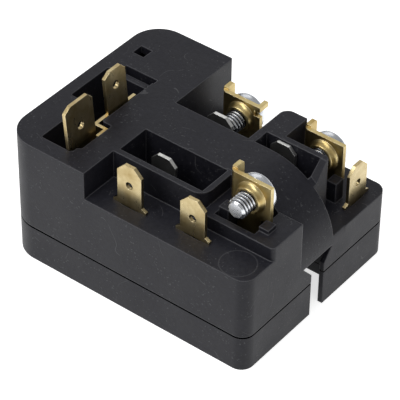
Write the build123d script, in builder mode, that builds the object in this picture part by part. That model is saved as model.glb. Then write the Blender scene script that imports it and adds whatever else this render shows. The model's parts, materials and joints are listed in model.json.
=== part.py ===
from build123d import *
import math
import os

# Start device of a refrigerator compressor, in millimetres, +Z up.
# It plugs onto the three pins of the compressor with its flat underside, which is z = 0.
# The origin is the middle of that underside. X runs along the length, Y from front to back.

# Moulded body
body_length = 64.0
body_width = 50.3
body_top = 31.4
parting_height = 8.9
deck_height = 16.75
ledge_height = 24.5
shelf_height = 27.85
wall = 1.8
deck_thickness = 2.0
floor_thickness = 2.0
large_corner = 7.0
small_corner = 3.0
seam_bevel = 0.2
lap_height = 1.5
lap_wall = 0.9
fit_gap = 0.15
rib_thickness = 1.5

# Tall block on the left, with its pocket, the slit behind it and the vent
block_length = 22.0
block_corner = 0.5
pocket_rear_left = 2.9
pocket_front_left = 7.35
pocket_step = 18.5
pocket_front = 3.8
pocket_back = 31.0
pocket_front_right = 16.5
pocket_rear_right = 13.9
pocket_jog = 15.7
pocket_bevel = 2.3
nib_left = 1.45
nib_width = 0.9
nib_start = 0.7
nib_end = 1.7
pocket_round = 0.5
rib_drop = 1.0
slit_depth = 6.0
slit_width = 1.4
slit_left = 5.4
slit_length = 8.8
vent_size = 3.0
vent_x = 5.1
vent_y = 39.95
block_core_left = 18.1
block_core_width = 2.4

# Curved bar across the middle, with the tunnel under it
bar_start = 18.75
bar_width = 11.55
arc_radius = 16.8
bar_wall = 1.5
bar_skin = 2.0
end_wall = 1.15
slot_width = 4.5
slot_start = 22.8
slot_straight = 11.2
funnel_front_margin = 1.05
funnel_back_margin = 0.4
foot_bay_length = 9.35
foot_bay_width = 5.7

# Wells, recess and low bays
well_wall = 1.3
front_well_offset = 0.7
front_well_length = 21.6
front_well_width = 8.5
front_well_reach = 0.65
front_well_corner = 3.0
shelf_start = 8.7
shelf_corner = 1.0
recess_rim = 1.5
recess_left_rim = 2.4
recess_right_margin = 5.9
lug_length = 2.4
lug_width = 2.7
lug_rise = 1.0
lug_margin = 0.5
bay_end = 41.3
side_block_margin = 5.7
side_well_width = 4.2
side_well_left_wall = 1.7
side_well_back_wall = 1.3
side_well_right_wall = 1.6
side_block_corner = 1.0
column_width = 13.1

# Flat metal
sheet = 0.8
strip_width = 4.0
strip_margin = 1.0
tab_width = 6.3
tab_bevel = 1.9
tab_hole = 1.8
tab_hole_drop = 5.0
shoulder_width = 8.6
shoulder_height = 1.1
leg_width = 4.0
leg_proud = 1.0

# The two blades in the pocket, which lean to the left above their bend
wide_blade_width = 8.55
wide_blade_top = 41.2
wide_blade_hole_drop = 5.9
narrow_blade_width = 6.6
narrow_blade_step = 0.25
narrow_blade_hole_drop = 3.9
blade_bevel_width = 1.8
blade_bevel_height = 1.1
blade_back_bevel = 1.3
blade_round = 0.5
blade_hole = 1.9
blade_lean = 5.5
blade_bend_drop = 0.4
link_height = 7.0
link_drop = 0.3
link_back = 5.9
link_front = 7.15
link_jog = 2.95
link_end = 2.95

# Pin contacts: a blade in its well and a spring sleeve for the compressor's pin
pin_bore = 3.2
sleeve_wall = 0.8
sleeve_length = 6.8
sleeve_slit = 0.8
neck_width = 3.0
boss_wall = 1.7
pin_entry = 4.2
entry_bevel = 0.9
contact_top = 31.0
contact_bevel = 1.6

# Screw plates and screws
screw_plate = 1.0
terminal_width = 10.5
terminal_height = 9.2
terminal_foot = 6.0
axis_height = 4.8
axis_offset = 0.4
ear_depth = 3.8
ear_rise = 0.4
ear_round = 0.7
ear_bottom = 1.5
bend_radius = 1.0
small_ear_height = 1.2
small_ear_depth = 3.0
ear_notch_height = 1.4
ear_notch_length = 1.6
collar_diameter = 7.2
collar_length = 1.5
collar_taper = 25
screw_diameter = 3.9
screw_clearance = 0.1
screw_reach = 5.35
screw_tip_bevel = 0.4
head_diameter = 8.0
head_height = 2.4
head_round = 1.1
recess_length = 4.4
recess_width = 1.0
recess_depth = 1.4

# Places of the legs from the body's faces, and heights of the seats and tips
run_pin_x = 31.1
run_pin_y = 15.1
start_pin_x = 31.7
start_pin_gap = 3.0
common_pin_inset = 4.8
contact_margin = 0.55
left_tab_x = 30.85
left_tab_y = 4.3
right_tab_x = 46.45
right_tab_y = 5.3
side_tab_inset = 3.3
side_tab_reach = 7.55
wide_blade_x = 14.5
wide_blade_y = 8.2
narrow_blade_x = 13.05
narrow_blade_y = 21.6
front_terminal_inset = 10.35
front_terminal_reach = 6.15
rear_terminal_gap = 8.4
rear_terminal_reach = 7.85
side_terminal_gap = 11.05
side_terminal_reach = 8.1
rear_seat = 20.15
side_seat = 20.9
left_tab_top = 35.2
right_tab_top = 34.2
side_tab_top = 26.7

# Ceramic disc and its two leaf springs
disc_diameter = 17.0
disc_thickness = 3.0
disc_lift = 1.3
spring_sheet = 0.5
spring_width = 8.0
spring_reach = 7.0
cradle_length = 13.0

# Faces of the housing that follow from the sizes above
left = -body_length / 2
right = body_length / 2
front = -body_width / 2
back = body_width / 2
block_right = left + block_length
bar_front = front + bar_start
bar_back = bar_front + bar_width
arc_x = right - arc_radius
arc_z = body_top - arc_radius
chamber_roof = deck_height - deck_thickness
strip_top = parting_height + sheet
core_roof = body_top - bar_skin
front_well_left = block_right + front_well_offset
front_well_right = front_well_left + front_well_length
front_well_back = bar_front + front_well_reach
front_well_front = front_well_back - front_well_width
shelf_left = front_well_right + well_wall
shelf_front = front + shelf_start
recess_left = shelf_left + recess_left_rim
recess_right = right - recess_right_margin
recess_front = shelf_front + recess_rim
bay_right = left + bay_end
side_block_right = right - side_block_margin
side_well_left = bay_right + side_well_left_wall
side_well_right = side_block_right - side_well_right_wall
side_well_back = bar_back + side_well_width
side_block_back = side_well_back + side_well_back_wall
column_back = bar_back + column_width
tunnel_front = bar_front + bar_wall
tunnel_back = bar_back - bar_wall
tunnel_right = right - end_wall
tunnel_block_left = arc_x - bar_wall
slot_front = front + slot_start
slot_back = slot_front + slot_width
narrow_blade_top = wide_blade_top - narrow_blade_step
slit_front = front + pocket_back + rib_thickness
chamber_front = slit_front + slit_width + rib_thickness
chamber_back = back - wall
disc_x = left + block_length / 2
disc_y = (chamber_front + chamber_back) / 2
disc_z = strip_top + disc_lift + disc_diameter / 2

# Middles of the metal legs, where they pass the deck
run_pin = (left + run_pin_x, front + run_pin_y)
start_pin = (left + start_pin_x, bar_back + start_pin_gap)
common_pin = (side_well_left + common_pin_inset, side_well_back - contact_margin)
left_tab = (left + left_tab_x, front + left_tab_y)
right_tab = (left + right_tab_x, front + right_tab_y)
side_tab = (right - side_tab_inset, back - side_tab_reach)
wide_blade = (left + wide_blade_x, front + wide_blade_y)
narrow_blade = (left + narrow_blade_x, front + narrow_blade_y)
front_terminal = (right - front_terminal_inset, shelf_front + front_terminal_reach)
rear_terminal = (block_right + rear_terminal_gap, back - rear_terminal_reach)
side_terminal = (bay_right + side_terminal_gap, back - side_terminal_reach)
front_seat = shelf_height
column_right = side_terminal[0] - terminal_width / 2 - fit_gap

# Legs on each strip: place, width, thickness, and whether the sheet lies along Y
run_legs = (
    (run_pin, neck_width, sheet, False),
    (left_tab, leg_width, sheet, False),
    (wide_blade, leg_width, sheet, True),
)
start_legs = (
    (start_pin, neck_width, sheet, False),
    (rear_terminal, leg_width, screw_plate, False),
)
common_legs = (
    (common_pin, neck_width, sheet, False),
    (side_terminal, leg_width, screw_plate, False),
    (side_tab, leg_width, sheet, True),
)
line_legs = (
    (right_tab, leg_width, sheet, False),
    (front_terminal, leg_width, screw_plate, False),
)
disc_legs = ((narrow_blade, leg_width, sheet, True),)


def span(x_low, x_high, y_low, y_high, mode=Mode.ADD):
    """Draw the rectangle between two opposite corners in the open sketch."""
    with Locations((x_low, y_low)):
        Rectangle(x_high - x_low, y_high - y_low, align=(Align.MIN, Align.MIN), mode=mode)


def leg_fields(legs, margin, mode=Mode.ADD):
    """Draw each leg's section, grown by a margin, in the open sketch."""
    for place, width, thickness, turned in legs:
        size = (width + 2 * margin, thickness + 2 * margin)
        with Locations(place):
            Rectangle(*(size[::-1] if turned else size), mode=mode)


def body_outline(inset=0.0):
    """Return the outline of the body, drawn in by an inset."""
    with BuildSketch() as outline:
        Rectangle(body_length - 2 * inset, body_width - 2 * inset)
        fillet(outline.vertices().group_by(Axis.X)[0], large_corner - inset)
        fillet(outline.vertices().group_by(Axis.X)[-1], small_corner - inset)
    return outline.sketch


def seam_edges(housing):
    """Return the outer edges of a housing at the parting line."""
    seam = body_outline().face().outer_wire().moved(Location((0, 0, parting_height)))
    return [edge for edge in housing.edges() if seam.distance_to(edge @ 0.5) < fit_gap]


def bar_profile():
    """Return the side view of the bar: flat on top, with a quarter circle down to the right end."""
    with BuildSketch() as profile:
        with BuildLine():
            Line((block_right, parting_height), (block_right, body_top))
            Line((block_right, body_top), (arc_x, body_top))
            CenterArc((arc_x, arc_z), arc_radius, 0, 90)
            Line((right, arc_z), (right, parting_height))
            Line((right, parting_height), (block_right, parting_height))
        make_face()
    return profile.sketch


def make_tab(name, plane, tip, seat):
    """Return a flat tab: bevelled tip, hole, shoulders on its seat and a leg to its strip."""
    half = tab_width / 2
    shoulder = shoulder_width / 2
    foot = parting_height - leg_proud
    with BuildPart() as tab:
        with BuildSketch(plane):
            with BuildLine():
                Polyline(
                    (0, foot),
                    (leg_width / 2, foot),
                    (leg_width / 2, seat),
                    (shoulder, seat),
                    (shoulder, seat + shoulder_height / 2),
                    (half, seat + shoulder_height),
                    (half, tip - tab_bevel),
                    (half - tab_bevel, tip),
                    (0, tip),
                )
                mirror(about=Plane.YZ)
            make_face()
            with Locations((0, tip - tab_hole_drop)):
                Circle(tab_hole / 2, mode=Mode.SUBTRACT)
        extrude(amount=sheet / 2, both=True)
    tab.part.label = name
    return tab


def make_pin_contact(name, place):
    """Return a tinned blade with a rolled, slit sleeve under it that grips a pin."""
    x, y = place
    half = tab_width / 2
    sleeve_radius = pin_bore / 2 + sleeve_wall
    sleeve_top = floor_thickness + sleeve_length
    with BuildPart() as contact:
        with BuildSketch(Plane.XZ.offset(-y)):
            with BuildLine():
                Polyline(
                    (x - neck_width / 2, sleeve_top - sleeve_wall),
                    (x + neck_width / 2, sleeve_top - sleeve_wall),
                    (x + neck_width / 2, deck_height),
                    (x + half, deck_height),
                    (x + half, contact_top - contact_bevel),
                    (x + half - contact_bevel, contact_top),
                    (x - half + contact_bevel, contact_top),
                    (x - half, contact_top - contact_bevel),
                    (x - half, deck_height),
                    (x - neck_width / 2, deck_height),
                    close=True,
                )
            make_face()
        extrude(amount=sheet / 2, both=True)
        with BuildSketch(Plane.XY.offset(floor_thickness)):
            with Locations(place):
                Circle(sleeve_radius)
        extrude(amount=sleeve_length)
        with BuildSketch(Plane.XY.offset(floor_thickness)):
            with Locations(place):
                Circle(pin_bore / 2)
            span(x - sleeve_slit / 2, x + sleeve_slit / 2, y, y + sleeve_radius + fit_gap)
        extrude(amount=sleeve_length - sleeve_wall, mode=Mode.SUBTRACT)
    contact.part.label = name
    return contact


def make_terminal(name, place, seat, small_ear=False):
    """Return a screw plate with a drawn collar towards the front and an ear bent to the back."""
    x, y = place
    face = y - screw_plate / 2
    low = x - terminal_width / 2
    high = x + terminal_width / 2
    top = seat + terminal_height
    ear_line = low + screw_plate / 2
    ear_back = face + ear_depth
    with BuildPart() as terminal:
        with BuildSketch(Plane.XY.offset(seat)):
            with BuildLine():
                FilletPolyline((high, y), (ear_line, y), (ear_line, ear_back), radius=bend_radius)
            trace(line_width=screw_plate)
        extrude(amount=terminal_height + ear_rise)
        with BuildSketch(Plane.YZ.offset(low)):
            span(face, face + screw_plate, seat, top)
            span(face, ear_back, seat + ear_bottom, top + ear_rise)
            span(face, face + screw_plate, top, top + ear_rise, mode=Mode.SUBTRACT)
            corner = (ear_back, top + ear_rise)
            with Locations(corner):
                Rectangle(2 * ear_round, 2 * ear_round, mode=Mode.SUBTRACT)
            with Locations((ear_back - ear_round, top + ear_rise - ear_round)):
                Circle(ear_round)
        extrude(amount=terminal_width, mode=Mode.INTERSECT)
        with BuildSketch(Plane.XZ.offset(-y)):
            span(x - terminal_foot / 2, x + terminal_foot / 2, deck_height, seat)
            span(x - leg_width / 2, x + leg_width / 2, parting_height - leg_proud, deck_height)
        extrude(amount=screw_plate / 2, both=True)
        if small_ear:
            with BuildSketch(Plane.XZ.offset(-y)):
                notch_top = top - small_ear_height
                span(high - ear_notch_length, high, notch_top - ear_notch_height, notch_top)
            extrude(amount=screw_plate / 2, both=True, mode=Mode.SUBTRACT)
            with BuildSketch(Plane.XY.offset(top - small_ear_height)):
                span(high - screw_plate, high, face, face + small_ear_depth)
            extrude(amount=small_ear_height)
        with BuildSketch(Plane.XZ.offset(-face)):
            with Locations((x + axis_offset, seat + axis_height)):
                Circle(collar_diameter / 2)
        extrude(amount=collar_length, taper=collar_taper)
        with BuildSketch(Plane.XZ.offset(collar_length - face)):
            with Locations((x + axis_offset, seat + axis_height)):
                Circle(screw_diameter / 2 + screw_clearance)
        extrude(amount=-collar_length - screw_plate, mode=Mode.SUBTRACT)
    terminal.part.label = name
    return terminal


def make_blade(place, width, tip, hole_drop):
    """Return a blade for the pocket: upright up to its bend, then leaning to the left."""
    x, y = place
    half = width / 2
    foot = parting_height - leg_proud
    bend = body_top - blade_bend_drop
    shift = (tip + blade_bevel_height - bend) * math.tan(math.radians(blade_lean))
    with BuildPart() as blade:
        with BuildSketch(Plane.XZ.offset(-y)):
            with BuildLine():
                Polyline((x, foot), (x, bend), (x - shift, tip + blade_bevel_height))
            trace(line_width=sheet)
        extrude(amount=half, both=True)
        with BuildSketch(Plane.YZ) as outline:
            with BuildLine():
                Polyline(
                    (y - leg_width / 2, foot),
                    (y + leg_width / 2, foot),
                    (y + leg_width / 2, deck_height),
                    (y + half, deck_height),
                    (y + half, tip - blade_back_bevel),
                    (y + half - blade_back_bevel, tip),
                    (y - half + blade_bevel_width, tip),
                    (y - half, tip - blade_bevel_height),
                    (y - half, deck_height),
                    (y - leg_width / 2, deck_height),
                    close=True,
                )
            make_face()
            corners = outline.vertices().filter_by_position(Axis.Z, bend, tip)
            fillet(corners, blade_round)
            with Locations((y, tip - hole_drop)):
                Circle(blade_hole / 2, mode=Mode.SUBTRACT)
        extrude(amount=body_length / 2, both=True, mode=Mode.INTERSECT)
    return blade.part


def make_strip(name, legs, *routes):
    """Return a flat strip that joins the legs: a field round each leg, and runs between them."""
    with BuildPart() as strip:
        with BuildSketch(Plane.XY.offset(parting_height)):
            leg_fields(legs, strip_margin)
            for route in routes:
                with BuildLine():
                    Polyline(*route)
                trace(line_width=strip_width)
            leg_fields(legs, fit_gap, mode=Mode.SUBTRACT)
        extrude(amount=sheet)
    strip.part.label = name
    return strip


def make_spring(name, wall_y, face_y):
    """Return a leaf spring: a foot on its strip and a bow from the chamber wall to the disc."""
    inward = 1 if face_y > wall_y else -1
    rest = wall_y + inward * spring_sheet
    touch = face_y - inward * spring_sheet / 2
    with BuildPart() as spring:
        with BuildSketch(Plane.YZ.offset(disc_x)):
            with BuildLine():
                Line((rest, strip_top), (rest, disc_z - spring_reach))
                ThreePointArc(
                    (rest, disc_z - spring_reach), (touch, disc_z), (rest, disc_z + spring_reach)
                )
            trace(line_width=spring_sheet)
        extrude(amount=spring_width / 2, both=True)
    spring.part.label = name
    return spring


# Upper housing: low body, tall block, front ledge, shelf, well walls, bar and side block
with BuildPart() as upper_housing:
    with BuildSketch(Plane.XY.offset(parting_height)):
        add(body_outline())
        span(block_right, right, bar_front, bar_back, mode=Mode.SUBTRACT)
    extrude(amount=deck_height - parting_height)
    with BuildSketch(Plane.XY.offset(deck_height)) as block_plan:
        add(body_outline())
        span(left, block_right, front, back, mode=Mode.INTERSECT)
        fillet(block_plan.vertices().sort_by(Axis.X)[-2:].sort_by(Axis.Y)[-1], block_corner)
    extrude(amount=body_top - deck_height)
    with BuildSketch(Plane.XY.offset(deck_height)):
        add(body_outline())
        span(block_right, right, front, bar_front, mode=Mode.INTERSECT)
    extrude(amount=ledge_height - deck_height)
    with BuildSketch(Plane.XY.offset(ledge_height)) as shelf_plan:
        span(shelf_left, right, shelf_front, bar_front)
        fillet(shelf_plan.vertices().group_by(Axis.X)[-1].sort_by(Axis.Y)[0], shelf_corner)
    extrude(amount=shelf_height - ledge_height)
    with BuildSketch(Plane.XY.offset(ledge_height)) as well_plan:
        span(block_right, shelf_left, front_well_front - well_wall, bar_front)
        fillet(well_plan.vertices().group_by(Axis.X)[-1].sort_by(Axis.Y)[0], front_well_corner)
    extrude(amount=body_top - ledge_height)
    with BuildSketch(Plane.XZ.offset(-bar_front)):
        add(bar_profile())
    extrude(amount=-bar_width)
    with BuildSketch(Plane.XY.offset(deck_height)) as side_plan:
        with BuildLine():
            Polyline(
                (bay_right, bar_back),
                (side_block_right, bar_back),
                (side_block_right, side_block_back),
                (column_right, side_block_back),
                (column_right, column_back),
                (bay_right, column_back),
                close=True,
            )
        make_face()
        fillet(side_plan.vertices().group_by(Axis.X)[-1].sort_by(Axis.Y)[-1], side_block_corner)
    extrude(amount=body_top - deck_height)
    # The right wall of the side well ends at the height of the bar's arc
    with BuildSketch(Plane.XZ.offset(-bar_back)):
        span(side_well_left, right, arc_z, body_top)
        add(bar_profile(), mode=Mode.SUBTRACT)
    extrude(amount=-side_well_width, mode=Mode.SUBTRACT)
    # Pocket of the two blades, the slit behind its cross rib and the vent over the disc
    with BuildSketch(Plane.XY.offset(body_top)) as pocket_plan:
        with BuildLine():
            Polyline(
                (left + pocket_front_left, front + pocket_front),
                (left + pocket_front_right - nib_left, front + pocket_front),
                (left + pocket_front_right - nib_width, front + pocket_front + nib_start),
                (left + pocket_front_right - nib_width, front + pocket_front + nib_end),
                (left + pocket_front_right, front + pocket_front + pocket_bevel),
                (left + pocket_front_right, front + pocket_jog),
                (left + pocket_rear_right, front + pocket_jog),
                (left + pocket_rear_right, front + pocket_back),
                (left + pocket_rear_left, front + pocket_back),
                (left + pocket_rear_left, front + pocket_step),
                (left + pocket_front_left, front + pocket_step),
                close=True,
            )
        make_face()
        fillet(pocket_plan.vertices(), pocket_round)
    extrude(amount=deck_height - body_top, mode=Mode.SUBTRACT)
    with BuildSketch(Plane.XY.offset(body_top)):
        span(left + slit_left, left + pocket_rear_right, front + pocket_back, slit_front)
    extrude(amount=-rib_drop, mode=Mode.SUBTRACT)
    with BuildSketch(Plane.XY.offset(body_top)):
        with Locations((left + slit_left, slit_front)):
            Rectangle(slit_length, slit_width, align=(Align.MIN, Align.MIN))
    extrude(amount=-slit_depth, mode=Mode.SUBTRACT)
    with BuildSketch(Plane.XY.offset(body_top)):
        with Locations((left + vent_x, front + vent_y)):
            Rectangle(vent_size, vent_size)
    extrude(amount=-bar_skin, mode=Mode.SUBTRACT)
    # Wells and recess, open upwards
    with BuildSketch(Plane.XY.offset(body_top)):
        span(front_well_left, front_well_right, front_well_front, front_well_back)
        span(side_well_left, side_well_right, bar_back, side_well_back)
        span(recess_left, recess_right, recess_front, bar_front)
    extrude(amount=deck_height - body_top, mode=Mode.SUBTRACT)
    # Lugs that back up the front and side screw plates
    with BuildSketch(Plane.XY.offset(deck_height)):
        lug_back = front_terminal[1] - screw_plate / 2
        span(recess_left, recess_left + lug_length, lug_back - lug_width, lug_back)
        span(recess_right, recess_right + lug_length, lug_back - lug_width, lug_back)
    extrude(amount=shelf_height + lug_rise - deck_height)
    with BuildSketch(Plane.XY.offset(deck_height)):
        post_right = side_terminal[0] + terminal_width / 2 + lug_margin
        post_back = side_terminal[1] - screw_plate / 2
        span(post_right - lug_length, post_right, post_back - lug_width, post_back)
    extrude(amount=side_seat + lug_rise - deck_height)
    # Chamber over the strips, without the block round the tunnel
    with BuildSketch(Plane.XY.offset(parting_height)):
        add(body_outline(wall))
        span(tunnel_block_left, right, bar_front, bar_back, mode=Mode.SUBTRACT)
    extrude(amount=chamber_roof - parting_height, mode=Mode.SUBTRACT)
    # Hollows under the ledge, the bar, the shelf, the column and beside the pocket
    with BuildSketch(Plane.XY.offset(parting_height)):
        add(body_outline(wall))
        ledge_core_back = shelf_front - well_wall
        span(block_right + wall, right - wall, front + wall, ledge_core_back, mode=Mode.INTERSECT)
    extrude(amount=ledge_height - deck_thickness - parting_height, mode=Mode.SUBTRACT)
    with BuildSketch(Plane.XY.offset(parting_height)):
        span(block_right + wall, tunnel_block_left - wall, bar_front + wall, bar_back - wall)
        span(bay_right + bar_wall, column_right - bar_wall, side_block_back, column_back - wall)
        core_left = left + block_core_left
        span(core_left, core_left + block_core_width, front + pocket_front, chamber_front - wall)
    extrude(amount=core_roof - parting_height, mode=Mode.SUBTRACT)
    with BuildSketch(Plane.XY.offset(parting_height)):
        span(recess_right + bar_wall, right - wall, recess_front, bar_front - wall)
    extrude(amount=shelf_height - deck_thickness - parting_height, mode=Mode.SUBTRACT)
    # Chamber of the ceramic disc
    with BuildSketch(Plane.XY.offset(parting_height)):
        add(body_outline(wall))
        span(left + wall, block_right - wall, chamber_front, chamber_back, mode=Mode.INTERSECT)
    extrude(amount=core_roof - parting_height, mode=Mode.SUBTRACT)
    # Tunnel under the curved bar, and the slot with its funnel in the end wall
    with BuildSketch(Plane.XZ.offset(-tunnel_front)):
        with Locations((arc_x, arc_z)):
            Circle(arc_radius - bar_skin)
        span(arc_x, tunnel_right, arc_z, body_top, mode=Mode.INTERSECT)
        span(arc_x, tunnel_right, 0, arc_z)
    extrude(amount=tunnel_front - tunnel_back, mode=Mode.SUBTRACT)
    with BuildSketch(Plane.YZ.offset(right)):
        with BuildLine():
            Polyline(
                (slot_front, 0),
                (slot_front, slot_straight),
                (bar_front + funnel_front_margin, arc_z),
                (bar_back - funnel_back_margin, arc_z),
                (slot_back, slot_straight),
                (slot_back, 0),
                close=True,
            )
        make_face()
    extrude(amount=-end_wall, mode=Mode.SUBTRACT)
    # Slits for the metal legs
    with BuildSketch(Plane.XY.offset(parting_height)):
        leg_fields(run_legs + start_legs + common_legs + line_legs + disc_legs, fit_gap)
    extrude(amount=ledge_height - parting_height, mode=Mode.SUBTRACT)
    # Lip that laps inside the wall of the base
    with BuildSketch(Plane.XY.offset(parting_height)):
        add(body_outline(lap_wall + fit_gap))
        add(body_outline(wall), mode=Mode.SUBTRACT)
        span(tunnel_block_left, right, bar_front, bar_back, mode=Mode.SUBTRACT)
    extrude(amount=fit_gap - lap_height)
    chamfer(seam_edges(upper_housing), seam_bevel)
upper_housing.part.label = "upper_housing"

# Base: a tray with bosses for the pin sleeves, ribs under the strips and the tunnel's lower half
with BuildPart() as base_housing:
    with BuildSketch():
        add(body_outline())
    extrude(amount=parting_height)
    with BuildSketch(Plane.XY.offset(floor_thickness)):
        add(body_outline(wall))
        span(tunnel_block_left, right, bar_front, bar_back, mode=Mode.SUBTRACT)
    extrude(amount=parting_height - floor_thickness, mode=Mode.SUBTRACT)
    with BuildSketch(Plane.XY.offset(parting_height)):
        add(body_outline(lap_wall))
        span(tunnel_block_left, right, bar_front, bar_back, mode=Mode.SUBTRACT)
    extrude(amount=-lap_height, mode=Mode.SUBTRACT)
    # Block for the bay beside the tunnel, which is open to it and downwards
    foot_bay_left = tunnel_right - foot_bay_length
    foot_bay_back = bar_back + foot_bay_width
    with BuildSketch():
        span(foot_bay_left - bar_wall, right - wall, bar_back, foot_bay_back + bar_wall)
    extrude(amount=parting_height - lap_height)
    sleeve_seat = pin_bore / 2 + sleeve_wall + fit_gap
    with BuildSketch(Plane.XY.offset(floor_thickness)):
        with Locations(run_pin, start_pin, common_pin):
            Circle(sleeve_seat + boss_wall)
        rib_y = run_pin[1] - sleeve_seat
        span(left + wall, right - wall, rib_y - rib_thickness, rib_y)
        rib_x = block_right + rib_thickness
        span(rib_x - rib_thickness, rib_x, front + wall, back - wall)
        back_rib_y = common_pin[1] + sleeve_seat + rib_thickness
        span(rib_x, right - wall, back_rib_y - rib_thickness, back_rib_y)
    extrude(amount=parting_height - floor_thickness)
    with BuildSketch(Plane.XZ.offset(-disc_y)):
        span(disc_x - cradle_length / 2, disc_x + cradle_length / 2, floor_thickness, disc_z)
        with Locations((disc_x, disc_z)):
            Circle(disc_diameter / 2 + fit_gap, mode=Mode.SUBTRACT)
        span(left, right, disc_z - disc_diameter / 2 + rib_drop, disc_z, mode=Mode.SUBTRACT)
    extrude(amount=disc_thickness / 2, both=True)
    with BuildSketch(Plane.XY.offset(floor_thickness)):
        with Locations(run_pin, start_pin, common_pin):
            Circle(sleeve_seat)
    extrude(amount=parting_height - floor_thickness, mode=Mode.SUBTRACT)
    with BuildSketch():
        with Locations(run_pin, start_pin, common_pin):
            Circle(pin_entry / 2)
        span(arc_x, tunnel_right, tunnel_front, tunnel_back)
        span(tunnel_right, right, slot_front, slot_back)
    extrude(amount=parting_height, mode=Mode.SUBTRACT)
    with BuildSketch():
        span(foot_bay_left, tunnel_right, tunnel_back, foot_bay_back)
    extrude(amount=parting_height - lap_height - bar_wall, mode=Mode.SUBTRACT)
    chamfer(seam_edges(base_housing), seam_bevel)
    pin_mouths = base_housing.edges().filter_by(GeomType.CIRCLE).group_by(Axis.Z)[0]
    chamfer([mouth for mouth in pin_mouths if mouth.radius < sleeve_seat], entry_bevel)
base_housing.part.label = "base_housing"

# Tabs outside: two on the front ledge, one on the low deck at the right
left_tab_plane = Plane((*left_tab, 0), x_dir=(1, 0, 0), z_dir=(0, -1, 0))
right_tab_plane = Plane((*right_tab, 0), x_dir=(1, 0, 0), z_dir=(0, -1, 0))
side_tab_plane = Plane((*side_tab, 0), x_dir=(0, 1, 0), z_dir=(1, 0, 0))
front_tab_left = make_tab("front_tab_left", left_tab_plane, left_tab_top, ledge_height)
front_tab_right = make_tab("front_tab_right", right_tab_plane, right_tab_top, ledge_height)
deck_tab = make_tab("deck_tab", side_tab_plane, side_tab_top, deck_height)

# Pin contacts, whose blades stand in the wells and the low bay
run_contact = make_pin_contact("run_pin_contact", run_pin)
start_contact = make_pin_contact("start_pin_contact", start_pin)
common_contact = make_pin_contact("common_pin_contact", common_pin)

# Screw plates
front_plate = make_terminal("front_screw_plate", front_terminal, front_seat)
rear_plate = make_terminal("rear_screw_plate", rear_terminal, rear_seat, small_ear=True)
side_plate = make_terminal("side_screw_plate", side_terminal, side_seat)

# Three alike screws, driven from the back through their collars
with BuildPart() as terminal_screws:
    for (x, y), seat in (
        (front_terminal, front_seat),
        (rear_terminal, rear_seat),
        (side_terminal, side_seat),
    ):
        face = y - screw_plate / 2
        axis_z = seat + axis_height
        with BuildSketch(Plane.XZ.offset(screw_reach - face)):
            with Locations((x + axis_offset, axis_z)):
                Circle(screw_diameter / 2)
        extrude(amount=-screw_reach - screw_plate)
        with BuildSketch(Plane.XZ.offset(-face - screw_plate)):
            with Locations((x + axis_offset, axis_z)):
                Circle(head_diameter / 2)
        extrude(amount=-head_height)
        head_back = face + screw_plate + head_height
        rims = terminal_screws.edges().filter_by(GeomType.CIRCLE)
        fillet(rims.filter_by_position(Axis.Y, head_back, head_back), head_round)
        rims = terminal_screws.edges().filter_by(GeomType.CIRCLE)
        chamfer(rims.filter_by_position(Axis.Y, face - screw_reach, face - screw_reach), screw_tip_bevel)
        with BuildSketch(Plane.XZ.offset(-face - screw_plate - head_height)):
            with Locations((x + axis_offset, axis_z)):
                Rectangle(recess_length, recess_width)
                Rectangle(recess_width, recess_length)
        extrude(amount=recess_depth, mode=Mode.SUBTRACT)
terminal_screws.part.label = "terminal_screws"

# Wide blade in the pocket, and the narrow one with its link that jogs towards the front
with BuildPart() as pocket_blade_wide:
    add(make_blade(wide_blade, wide_blade_width, wide_blade_top, wide_blade_hole_drop))
pocket_blade_wide.part.label = "pocket_blade_wide"
blade_x, blade_y = narrow_blade
with BuildPart() as pocket_blade_narrow:
    add(make_blade(narrow_blade, narrow_blade_width, narrow_blade_top, narrow_blade_hole_drop))
    with BuildSketch(Plane.XY.offset(body_top - link_drop)):
        with BuildLine():
            Polyline(
                (blade_x, blade_y + link_back),
                (blade_x, blade_y - link_front),
                (blade_x + link_jog, blade_y - link_front),
                (blade_x + link_jog, blade_y - link_front - link_end),
            )
        trace(line_width=sheet)
    extrude(amount=-link_height)
pocket_blade_narrow.part.label = "pocket_blade_narrow"

# Flat strips on the base that join the legs
run_strip = make_strip(
    "run_strip",
    run_legs,
    (left_tab, run_pin),
    (run_pin, (wide_blade[0], run_pin[1]), wide_blade),
)
start_strip = make_strip(
    "start_strip",
    start_legs,
    (
        start_pin,
        (start_pin[0], chamber_back - strip_width / 2),
        (disc_x - spring_width / 2, chamber_back - strip_width / 2),
    ),
)
common_strip = make_strip(
    "common_strip",
    common_legs,
    (common_pin, (common_pin[0], side_terminal[1]), (side_tab[0], side_tab[1])),
)
line_strip = make_strip(
    "line_strip",
    line_legs,
    (right_tab, (right_tab[0], front_terminal[1]), front_terminal),
)
disc_strip = make_strip(
    "disc_strip",
    disc_legs,
    (narrow_blade, (narrow_blade[0], chamber_front + strip_width / 2)),
)

# Ceramic disc on edge between its leaf springs
with BuildPart() as ceramic_disc:
    with BuildSketch(Plane.XZ.offset(-disc_y)):
        with Locations((disc_x, disc_z)):
            Circle(disc_diameter / 2)
    extrude(amount=disc_thickness / 2, both=True)
ceramic_disc.part.label = "ceramic_disc"
disc_spring_front = make_spring("disc_spring_front", chamber_front, disc_y - disc_thickness / 2)
disc_spring_back = make_spring("disc_spring_back", chamber_back, disc_y + disc_thickness / 2)

os.makedirs("parts", exist_ok=True)
for piece in (
    upper_housing,
    base_housing,
    front_tab_left,
    front_tab_right,
    deck_tab,
    run_contact,
    start_contact,
    common_contact,
    front_plate,
    rear_plate,
    side_plate,
    terminal_screws,
    pocket_blade_wide,
    pocket_blade_narrow,
    run_strip,
    start_strip,
    common_strip,
    line_strip,
    disc_strip,
    ceramic_disc,
    disc_spring_front,
    disc_spring_back,
):
    export_step(piece.part, "parts/" + piece.part.label + ".step")
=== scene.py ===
import json
import math

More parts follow.
